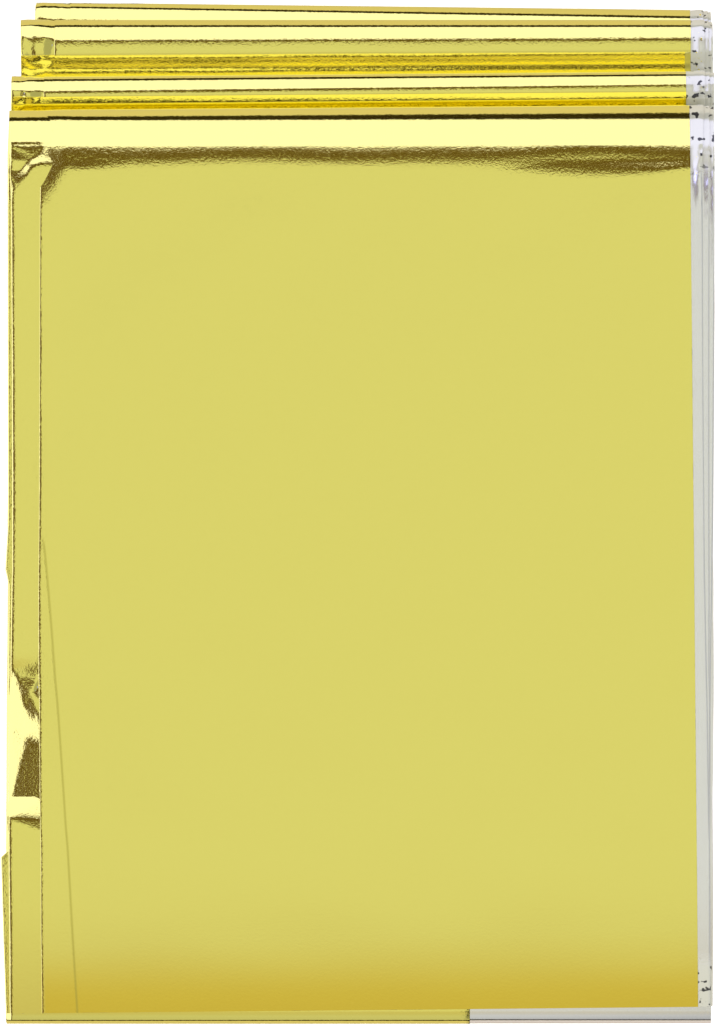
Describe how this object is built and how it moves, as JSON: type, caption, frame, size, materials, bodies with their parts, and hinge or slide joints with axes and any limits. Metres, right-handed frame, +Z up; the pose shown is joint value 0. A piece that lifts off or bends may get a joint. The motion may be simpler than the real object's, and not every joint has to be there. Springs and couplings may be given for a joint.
{
  "type": "folded emergency foil blanket",
  "caption": "Thin metallised rescue blanket, gold on one side and silver on the other, folded back and forth both ways into a flat pack that lies on a surface.",
  "frame": {"origin": "centre of the pack's bounding box in plan, on the surface that the pack lies on", "axes": "+Z up out of the surface; +Y along the pack, towards the staggered folds; +X across the pack, towards the silver folds and the first ply's free edge"},
  "size_m": [0.1036, 0.1484, 0.0297],
  "materials": {
    "gold_foil": "mirror-bright metallised polyester film, gold lacquer",
    "silver_foil": "mirror-bright metallised polyester film, bare aluminium"
  },
  "bodies": {
    "root": {"blanket": "gold_foil"}
  },
  "joints": []
}
